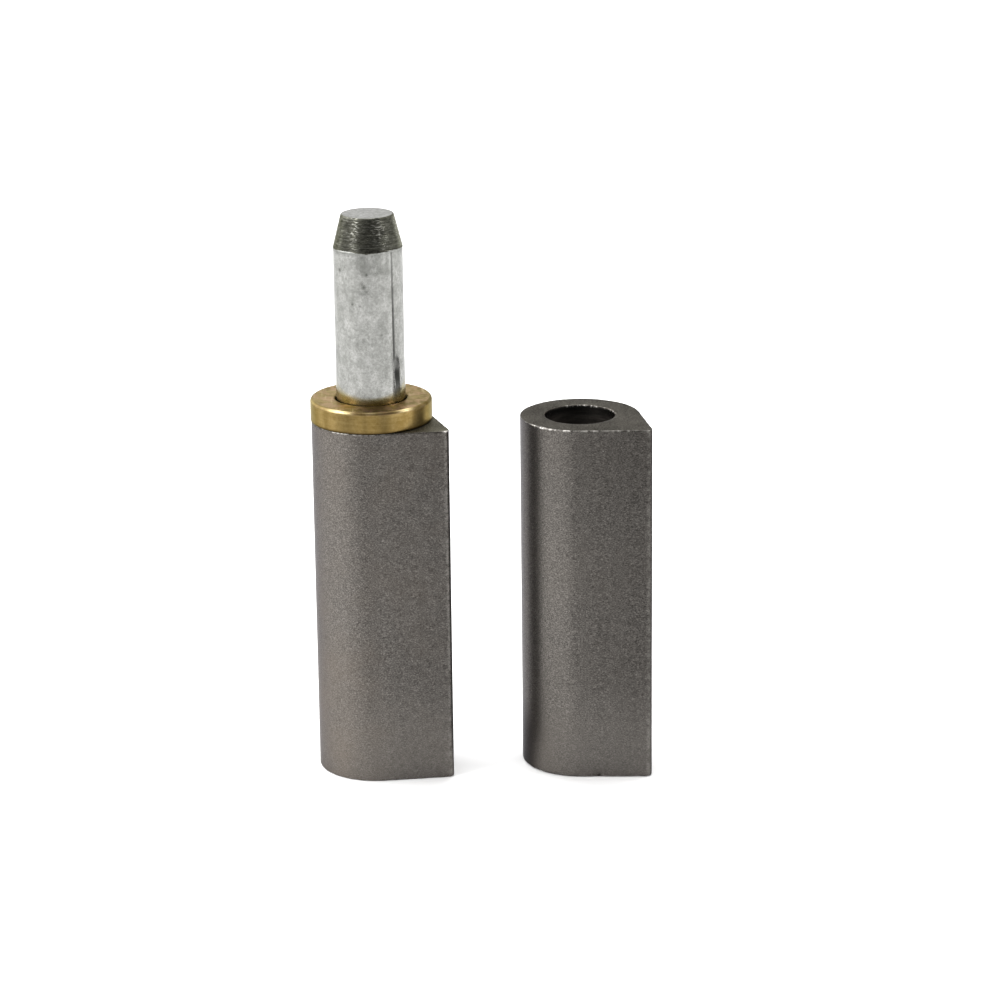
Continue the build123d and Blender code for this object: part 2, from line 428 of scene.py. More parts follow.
def pin_end(name, cx, cy):
    """The pin's faced end: pale, with fine rings round its centre."""
    k = Nodes(name)
    p = k.xyz()
    dx = k.math("SUBTRACT", p[0], cx)
    dy = k.math("SUBTRACT", p[1], cy)
    rad = k.math("SQRT", k.math("ADD", k.math("MULTIPLY", dx, dx), k.math("MULTIPLY", dy, dy)))
    c = k.t.nodes.new("ShaderNodeCombineXYZ")
    k.link(rad, c.inputs[0])
    rings = k.noise(5200, 2.0, 0.6, c.outputs[0])
    fine = k.noise(2300, 3.0, 0.6)
    base = k.mix(k.remap(fine, 0.35, 0.68, 0, 1), (0.100, 0.100, 0.092), (0.178, 0.178, 0.167))
    base = k.mix(k.remap(rings, 0.4, 0.7, 0.0, 0.35), base, (0.115, 0.115, 0.105))
    base = k.mix(k.remap(rad, 0.0028, 0.0033, 0.0, 0.35), base, (0.06, 0.06, 0.05))
    k.link(base, k.bsdf.inputs["Base Color"])
    k.link(k.remap(fine, 0.3, 0.7, 0.5, 0.38), k.bsdf.inputs["Roughness"])
    k.bsdf.inputs["Metallic"].default_value = 1.0
    k.link(k.bump(k.math("ADD", rings, fine), 0.6, 0.00003), k.bsdf.inputs["Normal"])
    return k.mat


def turned_brass(name):
    """Turned brass: streaky round the side, rubbed and scratched on its faces, pinkish where worn."""
    k = Nodes(name)
    cloud = k.noise(380, 3.0, 0.6)
    fine = k.noise(3000, 3.0, 0.65)
    bands = k.noise(800, 2.0, 0.55, k.mapping((1.0, 1.0, 0.10)))
    hair = k.noise(2900, 2.0, 0.6, k.mapping((0.07, 1.0, 1.0), rot=(0, 0, 0.7)))
    hair2 = k.noise(2600, 2.0, 0.6, k.mapping((1.0, 0.08, 1.0), rot=(0, 0, 0.35)))
    side_lo, side_hi = (0.140, 0.094, 0.030), (0.240, 0.173, 0.070)
    top_lo, top_hi = (0.118, 0.077, 0.029), (0.222, 0.155, 0.070)
    tone = k.math("ADD", k.math("MULTIPLY", cloud, 0.6), k.math("MULTIPLY", fine, 0.4))
    side = k.mix(k.remap(tone, 0.36, 0.66, 0, 1), side_lo, side_hi)
    side = k.mix(k.remap(bands, 0.45, 0.66, 0.0, 0.42), side, (0.15, 0.10, 0.03))
    lathe = k.noise(3300, 3.0, 0.7, k.mapping((0.07, 0.07, 1.0)))
    side = k.mix(k.remap(lathe, 0.52, 0.66, 0.0, 0.20), side, (0.29, 0.22, 0.095))
    side = k.mix(k.remap(lathe, 0.34, 0.48, 0.22, 0.0), side, (0.105, 0.072, 0.022))
    topc = k.mix(k.remap(tone, 0.40, 0.60, 0, 1), top_lo, top_hi)
    rosy = k.remap(k.noise(640, 4.0, 0.65, None, 0.6), 0.47, 0.55, 0.0, 1.0)
    topc = k.mix(rosy, topc, (0.262, 0.166, 0.105))
    stain = k.math("MULTIPLY", k.remap(k.noise(900, 4.0, 0.7), 0.54, 0.62, 0.0, 1.0), k.remap(k.noise(190, 2.0), 0.40, 0.52, 0.0, 1.0))
    topc = k.mix(k.math("MULTIPLY", stain, 0.6), topc, (0.085, 0.045, 0.018))
    scr = k.math("MAXIMUM", k.remap(hair, 0.56, 0.66, 0.0, 1.0), k.remap(hair2, 0.58, 0.68, 0.0, 1.0))
    patch = k.remap(k.noise(300, 2.0, 0.6), 0.42, 0.60, 0.12, 0.55)
    topc = k.mix(k.math("MULTIPLY", scr, patch), topc, (0.40, 0.33, 0.20))
    top = k.attr("face")
    base = k.mix(top, side, topc)
    # painted highlights on the crown and the hole's edge; painted highlight, reflection and shade bands from tone;
    # painted shade in the hole and along the lower edge
    base = k.mix(k.math("MULTIPLY", k.attr("wear_and_highlight"), 0.60, clamp=True), base, (0.47, 0.425, 0.25))
    base = k.mix(1.0, base, k.attr("tone"), "MULTIPLY")
    base = k.mix(k.attr("grime_and_shade"), base, (0.03, 0.018, 0.006))
    k.link(base, k.bsdf.inputs["Base Color"])
    k.link(k.math("SUBTRACT", k.remap(cloud, 0.3, 0.7, 0.39, 0.30), k.math("MULTIPLY", k.attr("wear_and_highlight"), 0.05)),
           k.bsdf.inputs["Roughness"])
    k.bsdf.inputs["Metallic"].default_value = 1.0
    k.bsdf.inputs["Specular Tint"].default_value = (0.6, 0.6, 0.5, 1)
    h = k.math("ADD", k.math("MULTIPLY", fine, 0.5), k.math("MULTIPLY", k.math("MULTIPLY", scr, top), 0.5))
    h = k.math("ADD", h, k.math("MULTIPLY", bands, 0.5))
    k.link(k.bump(h, 0.5, 0.00002), k.bsdf.inputs["Normal"])
    return k.mat


# ------------------------------------------------------------ teardrop bar mesh
def teardrop(n_arc=190, n_flat=38, n_nose=18):
    """Points and outward normals round the bar, nose along +x, anticlockwise."""
    pts, nrm = [], []
    a0 = math.pi / 2 - HALF
    flat = np.array([BAR_R * math.sin(HALF), BAR_R * math.cos(HALF)])
    c = (BAR_R - NOSE_R) / math.sin(HALF)
    tip = np.array([c + NOSE_R * math.sin(HALF), NOSE_R * math.cos(HALF)])
    for a in np.linspace(a0, 2 * math.pi - a0, n_arc, endpoint=False):
        pts.append((BAR_R * math.cos(a), BAR_R * math.sin(a)))
        nrm.append((math.cos(a), math.sin(a)))
    for t in np.linspace(0, 1, n_flat, endpoint=False):
        q = flat + (tip - flat) * t
        pts.append((q[0], -q[1]))
        nrm.append((math.sin(HALF), -math.cos(HALF)))
    for a in np.linspace(-a0, a0, n_nose, endpoint=False):
        pts.append((c + NOSE_R * math.cos(a), NOSE_R * math.sin(a)))
        nrm.append((math.cos(a), math.sin(a)))
    for t in np.linspace(0, 1, n_flat, endpoint=False):
        q = tip + (flat - tip) * t
        pts.append((q[0], q[1]))
        nrm.append((math.sin(HALF), math.cos(HALF)))
    return np.array(pts), np.array(nrm)


def bump_arc(angle, lo, hi, soft=5.0):
    """1 inside an arc (degrees), 0 outside, with soft ends."""
    mid, half = (lo + hi) / 2, (hi - lo) / 2
    d = np.abs((np.degrees(angle) - mid + 180) % 360 - 180)
    return 1 - smooth(half - soft / 2, half + soft / 2, d)


def make_bar(name, cx, cy, nose, bore_r, mouth_r, bore_floor, mats, seed, base_round, worn, spots, rim_highlight_arcs,
             flat_to, nicks=(), foot_painted_shade=0.0, chips=()):
    """The bar as one closed skin: wall, rounded and worn ends, end faces, bore.

    worn: (lo, hi, strength, radius) arcs of the upper edge in degrees, rubbed and with painted highlights; spots:
    single bright nicks there, with painted glints.
    """
    P, N = teardrop()
    n = len(P)
    c, s = math.cos(nose), math.sin(nose)
    R = np.array([[c, -s], [s, c]])
    P, N = P @ R.T, N @ R.T
    around = np.arctan2(P[:, 1], P[:, 0])
    big = wave_noise(seed, 7, 1, 6)
    edge = wave_noise(seed + 1, 14, 3, 40)
    edge2 = wave_noise(seed + 2, 22, 30, 130)
    top_r = np.full(n, 0.085)
    # a rubbed upper edge, with painted highlights along the worn arcs and painted glints at the spots
    edge_wear_and_highlight = 0.20 + 0.0 * around
    for lo, hi, k, r in worn:
        m = bump_arc(around, lo, hi)
        edge_wear_and_highlight = np.maximum(edge_wear_and_highlight, m * k)
        top_r = np.maximum(top_r, m * r)
    spot_glint = 0.0 * around
    for mid, wid, k in spots:
        m = np.exp(-(((np.degrees(around) - mid + 180) % 360 - 180) / wid) ** 2)
        top_r = np.maximum(top_r, m * 0.14 * k)
        spot_glint = np.maximum(spot_glint, m * k)
    # broken up along the edge
    edge_wear_and_highlight = np.maximum(edge_wear_and_highlight * np.clip(0.75 + 0.45 * edge2(around, 0), 0.15, 1.2), spot_glint)
    top_r = np.clip(top_r + 0.018 * edge(around, 0) + 0.016 * edge2(around, 0), 0.05, 0.26) * MM
    base_r = np.clip(base_round + 0.15 * base_round * edge(around, 50) + 0.02 * edge2(around, 50),
                     0.07, 0.34) * MM
    rows, wear_and_highlight, kind, soil_and_shade = [], [], [], []      # kind: 0 wall, 1 end face, 2 bore
    turn = np.degrees(np.arctan2(N[:, 1], N[:, 0]) - nose)
    turn = (turn + 180) % 360 - 180               # the wall's outward direction from the nose's
    # painted highlight beside the nose, and painted shade at it
    nose_painted_highlight = (0.16 if foot_painted_shade == 0 else 0.09) * np.exp(-((turn + 22) / 22) ** 2)
    nose_painted_shade = (0.45 if foot_painted_shade == 0 else 0.6) * smooth(-8, 16, turn) * (1 - smooth(30, 48, turn))
    off_nose = np.abs((np.degrees(around - nose) + 180) % 360 - 180)
    # flat: where the flats lie, its painted shade growing towards the nose
    flat = (1 - smooth(flat_to[0], flat_to[1], off_nose)) * (1.0 + 0.62 * (1 - np.clip(off_nose / 50, 0, 1)))

    # painted shade: a dark foot low on the front left
    side = (np.degrees(around) + 91.5 + 180) % 360 - 180
    foot_shade_side = foot_painted_shade * (1 - smooth(-62, -42, side)) * smooth(-130, -100, side)
    chip = np.zeros(n)
    for mid, wid, k in chips:
        chip = np.maximum(chip, k * np.exp(-(((np.degrees(around) - mid + 180) % 360 - 180) / wid) ** 2))

    def ring(xy, z, w, k):
        rows.append(np.c_[xy, np.broadcast_to(z, n)])
        wear_and_highlight.append(np.broadcast_to(w, n))
        kind.append(k)
        zm = float(np.mean(z)) / MM
        # painted shade at the nose and foot; darker at the chips near the base
        dirt_and_shade = np.maximum(nose_painted_shade, foot_shade_side * float(1 - smooth(4.0, 11.5, zm)))
        dirt_and_shade = np.maximum(dirt_and_shade, chip * float(1 - smooth(0.22, 0.55, zm)))
        soil_and_shade.append(dirt_and_shade if k == 0 else np.zeros(n))

    def skin(z):
        """How far the wall lies inside the true profile at height z."""
        zm = z / MM
        d = 0.005 * (1 + 0.6 * big(around, zm * 0.35)) * MM
        for (ang, zz, w, h, depth) in nicks:
            da = (around - ang + math.pi) % (2 * math.pi) - math.pi
            d = d + depth * MM * np.exp(-((da * 8 / w) ** 2) - ((zm - zz) / h) ** 2)
        return np.maximum(d, 0)

    # base face, from its centre outwards
    inset = P - N * base_r[:, None]
    for t in np.linspace(0.0, 1.0, 12)[1:]:
        ring(inset * t, 0.004 * MM * (1 - t), 0.0 if t < 1 else 0.2, 1)
    centre_base = (0.0, 0.0, 0.004 * MM)
    for a in np.linspace(0, math.pi / 2, 6)[1:]:
        off = base_r * (1 - math.sin(a))
        z = base_r * (1 - math.cos(a))
        ring(P - N * (off + skin(z) * math.sin(a))[:, None], z, 0.25 * math.sin(2 * a), 0)
    lo = base_r.max() + 0.05 * MM
    hi = BAR_H - top_r.max() - 0.05 * MM
    fine_z = [lo + 0.12 * MM * i for i in range(28)]
    for z in fine_z + list(np.linspace(fine_z[-1] + 0.4 * MM, hi, 100)):
        ring(P - N * skin(z)[:, None], z, nose_painted_highlight, 0)
    for a in np.linspace(math.pi / 2, 0, 7):
        off = top_r * (1 - math.sin(a))
        z = BAR_H - top_r * (1 - math.cos(a))
        w = edge_wear_and_highlight if 0.05 < a < 1.5 else edge_wear_and_highlight * 0.3
        ring(P - N * (off + skin(BAR_H) * math.sin(a))[:, None], z, w, 0)
        # painted shade along the upper edge where it has no highlight
        soil_and_shade[-1] = np.clip(0.75 - edge_wear_and_highlight, 0, 0.75) * math.sin(a)
    # top face, in to the bore's mouth
    inset = P - N * top_r[:, None]
    u = np.c_[np.cos(around), np.sin(around)]
    rim = wave_noise(seed + 5, 12, 5, 60)
    rim2 = wave_noise(seed + 6, 20, 20, 110)
    mouth = mouth_r + 0.012 * MM * rim(around, 3)
    # painted highlights round the bore's mouth
    rim_highlight = 0.0 * around
    for lo_a, hi_a, k in rim_highlight_arcs:
        rim_highlight = np.maximum(rim_highlight, k * bump_arc(around, lo_a, hi_a, 12.0))
    rim_highlight = rim_highlight * np.clip(0.6 + 0.7 * rim2(around, 0), 0, 1.2)
    for t in np.linspace(0, 1, 16)[1:]:
        q = inset * (1 - t) + u * mouth[:, None] * t
        ring(q, BAR_H - 0.002 * MM * (1 + np.sin(9 * around + 4 * t)), rim_highlight * 0.6 if t == 1 else 0.0, 1)
    # mouth edge and bore wall
    depth = mouth_r - bore_r
    ring(u * ((mouth + bore_r) / 2)[:, None], BAR_H - depth * 0.5, rim_highlight, 2)
    ring(u * bore_r, BAR_H - depth, rim_highlight * 0.5, 2)
    # painted shade: the bore darkened below its mouth
    soil_and_shade[-1] = np.full(n, 0.85)
    for t in np.concatenate([np.linspace(0, 0.1, 12)[1:], np.linspace(0.1, 1, 40)[1:]]):
        z = (BAR_H - depth) * (1 - t) + bore_floor * t
        ring(u * (bore_r + 0.004 * MM * (1 + math.sin(t * 170))), z, 0.0, 2)
        soil_and_shade[-1] = np.full(n, 0.85 * float(smooth(BAR_H - 1.9 * MM, BAR_H - 0.5 * MM, z)))
    tip = bore_floor - bore_r / math.tan(math.radians(59))
    for t in (0.3, 0.6, 0.85):
        ring(u * bore_r * (1 - t), bore_floor + (tip - bore_floor) * t, 0.0, 2)
    V = np.vstack(rows)
    W = np.concatenate(wear_and_highlight)
    F = grid_faces(len(rows), n)
    K = []
    for r in range(len(rows) - 1):
        K += [kind[r + 1]] * n
    # close both ends on a centre point
    V = np.vstack([V, [centre_base], [(0, 0, tip)]])
    W = np.append(W, [0, 0])
    base_i, tip_i = len(V) - 2, len(V) - 1
    last = (len(rows) - 1) * n
    for i in range(n):
        j = (i + 1) % n
        F.append((base_i, j, i))
        K.append(1)
        F.append((last + i, last + j, tip_i))
        K.append(2)
    V = V + np.array([cx, cy, 0])
    flat = np.append(np.tile(flat, len(rows)), [1, 1])
    G = np.append(np.concatenate(soil_and_shade), [0, 0])
    return make_mesh(name, V, F, {"wear_and_highlight": W, "flat": flat, "grime_and_shade": G}, mats, K)


# ------------------------------------------------------------ pin mesh
def make_pin(name, mats):
    """One revolved skin with the taper groove pressed in and the cone's tool marks."""
    line_deg = -45.2                                  # where the groove's line runs, 5 mm above the washer
    fine_a = np.radians(np.linspace(line_deg - 8, line_deg + 20, 80, endpoint=False))
    wide_a = np.radians(np.linspace(line_deg + 20, line_deg + 352, 210, endpoint=False))
    ang = np.concatenate([fine_a, wide_a])
    ang = (ang + math.pi) % (2 * math.pi) - math.pi
    n = len(ang)
    u = np.c_[np.cos(ang), np.sin(ang)]
    top_z = WASHER_TOP
    edge_n = wave_noise(41, 9, 2, 22)
    ring_n = wave_noise(43, 16, 1, 30)
    torn_n = wave_noise(44, 22, 8, 90)
    cam_a = (np.degrees(ang) + 91.5 + 180) % 360 - 180   # from the viewing side, positive to its right
    spots = [  # angle from the viewing side, height above the washer (mm), size (mm), strength
        (-52.0, 17.9, 0.30, 1.0), (-3.0, 19.2, 0.24, 0.8), (-1.0, 17.6, 0.30, 1.0),
        (-26.0, 13.6, 0.24, 1.0), (-13.0, 13.4, 0.22, 0.8), (-6.0, 15.9, 0.40, 0.9),
        (-1.5, 15.3, 0.30, 0.7), (-9.0, 16.4, 0.26, 0.6), (-7.0, 19.9, 0.5, 0.5), (-5.0, 15.0, 0.9, 0.22),
        (-4.0, 18.4, 1.6, 0.42), (10.0, 19.4, 0.4, 0.35), (-18.0, 18.4, 0.8, 0.18), (-9.0, 8.7, 0.5, 0.3),
        (-19.0, 8.2, 0.25, 0.5), (-60.0, 7.4, 0.22, 0.5), (22.0, 9.4, 0.2, 0.45),
        (-30.0, 4.2, 0.2, 0.4), (8.0, 5.6, 0.22, 0.4), (150.0, 12.0, 0.3, 0.8),
        (120.0, 6.0, 0.34, 0.7), (-140.0, 15.0, 0.3, 0.7), (95.0, 16.5, 0.3, 0.6),
        (62.0, 1.6, 0.3, 0.7), (64.0, 3.0, 0.2, 0.6),
    ]
    front = math.radians(-91.5)

    # painted shade on the wide run's dark side: height, from, to (mm round the pin from the line), strength
    wedge = np.array([(0.5, 0.1, 1.0, 0.2), (0.9, -0.15, 1.02, 0.42), (1.3, -0.22, 1.02, 0.54), (1.9, 0.0, 1.0, 0.62),
                      (2.45, 0.16, 0.97, 0.82), (3.0, 0.05, 0.98, 0.95), (3.6, -0.03, 0.97, 1.0), (4.2, -0.05, 0.94, 0.97),
                      (4.75, -0.08, 0.88, 0.62), (5.2, -0.1, 0.78, 0.36), (5.9, -0.12, 0.6, 0.22), (7.0, -0.12, 0.4, 0.0)])

    def groove(z):
        """Depth of the groove, its painted shade and its bright lip, round the ring at height z."""
        h = (z - top_z) / MM
        a = math.radians(line_deg - 0.17 * (h - 5.0))     # the line leans a little
        arc = ((ang - a + math.pi) % (2 * math.pi) - math.pi) * PIN_R / MM
        # the narrow upper run
        t = float(np.clip((20.0 - h) / 10, 0, 1))
        fine = float(1 - smooth(20.15, 20.5, h))
        w1 = 0.17 + 0.075 * t
        v1 = np.clip(1 - np.abs(arc) / w1, 0, 1)
        # the wide pressed run below, its near side on the same line
        open_ = float(1 - smooth(4.2, 6.4, h))
        v2 = np.clip(1 - np.abs(arc - 0.46) / 0.56, 0, 1)
        deep = 0.20 - 0.08 * float(1 - smooth(1.5, 3.4, h))
        d = np.maximum(v1 * (0.05 + 0.09 * t) * fine * (1 - open_), v2 * deep * open_)
        g = np.clip(v1 * 1.9, 0, 1) * fine * (0.40 + 0.32 * t) * (1 - open_)
        lo_w = float(np.interp(h, wedge[:, 0], wedge[:, 1]))
        hi_w = float(np.interp(h, wedge[:, 0], wedge[:, 2]))
        v3 = smooth(lo_w - 0.12, lo_w + 0.10, arc) * (1 - smooth(hi_w - 0.10, hi_w + 0.10, arc))
        g = np.maximum(g, v3 * float(smooth(0.5, 0.9, h)) * float(np.interp(h, wedge[:, 0], wedge[:, 3])))
        # the line's near edge is burnished at its top and beside the wide run
        lip = np.exp(-((arc + 0.34) / 0.09) ** 2) * (0.05 + 0.25 * float(smooth(17.0, 19.5, h))) * fine
        lip = lip + 0.55 * np.exp(-((arc + 0.42) / 0.26) ** 2) * float(smooth(0.8, 1.6, h)) * float(1 - smooth(3.6, 4.8, h))
        return d * MM, g, lip

    rows, wear_and_highlight, speck_and_shade, dark = [], [], [], []
    PLATED = (CONE_Z - top_z) / MM

    def ring(r, z, w=0.0, sp=None, gr=None):
        r = np.broadcast_to(r, n)
        rows.append(np.c_[u * r[:, None], np.broadcast_to(z, n)])
        wear_and_highlight.append(np.broadcast_to(w, n))
        speck_and_shade.append(np.zeros(n) if sp is None else sp)
        dark.append(np.zeros(n) if gr is None else gr)

    ch = 0.5 * MM
    for t in (0.25, 0.5, 0.75, 1.0):
        ring((PIN_R - ch) * t, PIN_FOOT)
    zs = list(np.linspace(PIN_FOOT + ch, top_z - 1.2 * MM, 18)) + list(
        np.linspace(top_z - 1.0 * MM, top_z + 6.5 * MM, 88)) + list(
        np.linspace(top_z + 6.6 * MM, CONE_Z - 0.55 * MM, 68)) + list(
        np.linspace(CONE_Z - 0.5 * MM, CONE_Z - 0.12 * MM, 8))
    relief_lo, relief_hi = top_z - 0.9 * MM, top_z - 0.15 * MM
    body = wave_noise(47, 9, 1, 7)
    for z in zs:
        d, g, lip = groove(z)
        r = PIN_R - 0.004 * MM * (1 + body(ang, z / MM)) - d
        if relief_lo < z < relief_hi:
            r = np.minimum(r, PIN_R - 0.2 * MM)
        h = (z - top_z) / MM
        # painted shade along the top of the plate, strongest left of the front; then the dark specks
        sp = (0.30 + 0.30 * np.exp(-((cam_a + 45) / 25) ** 2)) * float(smooth(PLATED - 0.7, PLATED - 0.05, h))
        for (a, zz, size, k) in spots:
            arc = ((ang - front - math.radians(a) + math.pi) % (2 * math.pi) - math.pi) * PIN_R / MM
            sp = np.maximum(sp, k * np.exp(-((arc / size) ** 2) * 1.6 - (((h - zz) / size) ** 2) * 1.6))
        ring(r, z, lip, sp, g)
    # cone: a small rolled shoulder, then tool rings
    cone_h = PIN_TOP - CONE_Z
    er = 0.27 * MM
    m = 92
    for i in range(m + 1):
        t = i / m
        z = CONE_Z - 0.06 * MM + (cone_h + 0.06 * MM - er) * t
        r = PIN_R + (CONE_TOP_R - PIN_R) * max(0.0, (z - CONE_Z)) / cone_h
        zm = z / MM
        pitch = zm + 0.05 * math.sin(zm * 5.1) + 0.04 * math.sin(zm * 11.7)
        tool = (0.007 + 0.004 * math.sin(zm * 7.3)) * (1 + np.sin(pitch * 2 * math.pi / 0.34 + 0.45 * ring_n(ang, 0.2 * zm)))
        torn = 0.005 * (1 + torn_n(ang, zm * 2.4))
        fade = min(1.0, i / 4)
        # painted glints: small bright tears in patches, where the light would catch them
        painted_sparkle = (0.66 * np.exp(-((cam_a + 23) / 7) ** 2) + 0.76 * np.exp(-((cam_a - 18 - 14 * (1 - t)) / 11) ** 2)
                 + 0.9 * np.exp(-((cam_a - 76) / 8) ** 2) + 0.10)
        painted_sparkle = painted_sparkle * (0.45 + 0.55 * float(smooth(0.15, 0.6, t))) * float(smooth(0.04, 0.12, t))
        # painted shade on the cone's front; the last argument paints a highlight at its right limb
        painted_dull_shade = 0.55 * np.exp(-((cam_a + 40) / 15) ** 2) + 0.22
        ring(r - (tool + np.clip(torn, 0, None)) * MM * fade, z, np.clip(painted_sparkle, 0, 1), painted_dull_shade * float(smooth(0.0, 0.06, t)),
             0.45 * smooth(58, 80, cam_a) * (1 - smooth(88, 110, cam_a)) * float(smooth(0.0, 0.1, t)))
    slope = math.atan2(PIN_R - CONE_TOP_R, cone_h)
    for a in np.linspace(0.0, 1.0, 6)[1:]:
        th = slope + a * (math.pi / 2 - slope)
        r = CONE_TOP_R + 0.02 * MM - er * (1 - math.cos(th - slope)) * 0.9
        z = PIN_TOP - er * (1 - math.sin(th))
        # a rubbed top edge, with painted highlights either side of the front
        ring(r + 0.010 * MM * edge_n(ang, 2), z, (0.35 + 1.1 * np.exp(-((np.abs(cam_a) - 28) / 12) ** 2)) * a)
    end_start = len(rows)
    r_last = CONE_TOP_R + 0.02 * MM - er
    for t in np.linspace(1, 0, 16)[1:-1]:
        ring(r_last * t, PIN_TOP - 0.004 * MM * (1 + math.sin(t * 60)), 0.0)
    V = np.vstack(rows)
    W, S, G = (np.concatenate(x) for x in (wear_and_highlight, speck_and_shade, dark))
    F = grid_faces(len(rows), n)
    # the plate stops on a wavy line just under the cone
    line = CONE_Z + (np.interp(cam_a, (-180, -130, -90, -78, -41, -29, -15, -1, 13, 27, 38, 55, 78, 90, 130, 180),
                               (0.0, 0.06, -0.14, -0.10, 0.08, 0.08, -0.08, -0.19, -0.10, 0.02, 0.07, 0.06, -0.03, -0.16, 0.05, 0.0))
                     + 0.010 * edge_n(ang, 0) + 0.010 * torn_n(ang, 1)) * MM
    K = []
    for r in range(len(rows) - 1):
        for i in range(n):
            z = rows[r][i, 2]
            if r >= end_start - 1:
                K.append(2)
            else:
                K.append(1 if z > line[i] else 0)
    V = np.vstack([V, [(0, 0, PIN_FOOT)], [(0, 0, PIN_TOP - 0.004 * MM)]])
    W, S, G = (np.append(x, [0, 0]) for x in (W, S, G))
    foot_i, top_i = len(V) - 2, len(V) - 1
    last = (len(rows) - 1) * n
    for i in range(n):
        j = (i + 1) % n
        F.append((foot_i, j, i))
        K.append(0)
        F.append((last + i, last + j, top_i))
        K.append(2)
    # painted reflection of the washer, fading up the pin's foot
    hz = (V[:, 2] - top_z) / MM
    va = (np.degrees(np.arctan2(V[:, 1], V[:, 0])) + 91.5 + 180) % 360 - 180
    reach = 1.15 + 2.0 * np.clip(np.abs(va) / 75, 0, 1) ** 2
    washer_painted_reflection = (1 - smooth(0.35, 1.0, hz / reach)) * smooth(-0.5, 0.0, hz) * (0.85 + 0.15 * np.sin(va * 0.11))
    V = V + np.array([PIN_X, PIN_Y, 0])
    return make_mesh(name, V, F, {"wear_and_highlight": W, "speck_and_shade": S, "groove": G, "washer_painted_reflection": washer_painted_reflection}, mats, K)


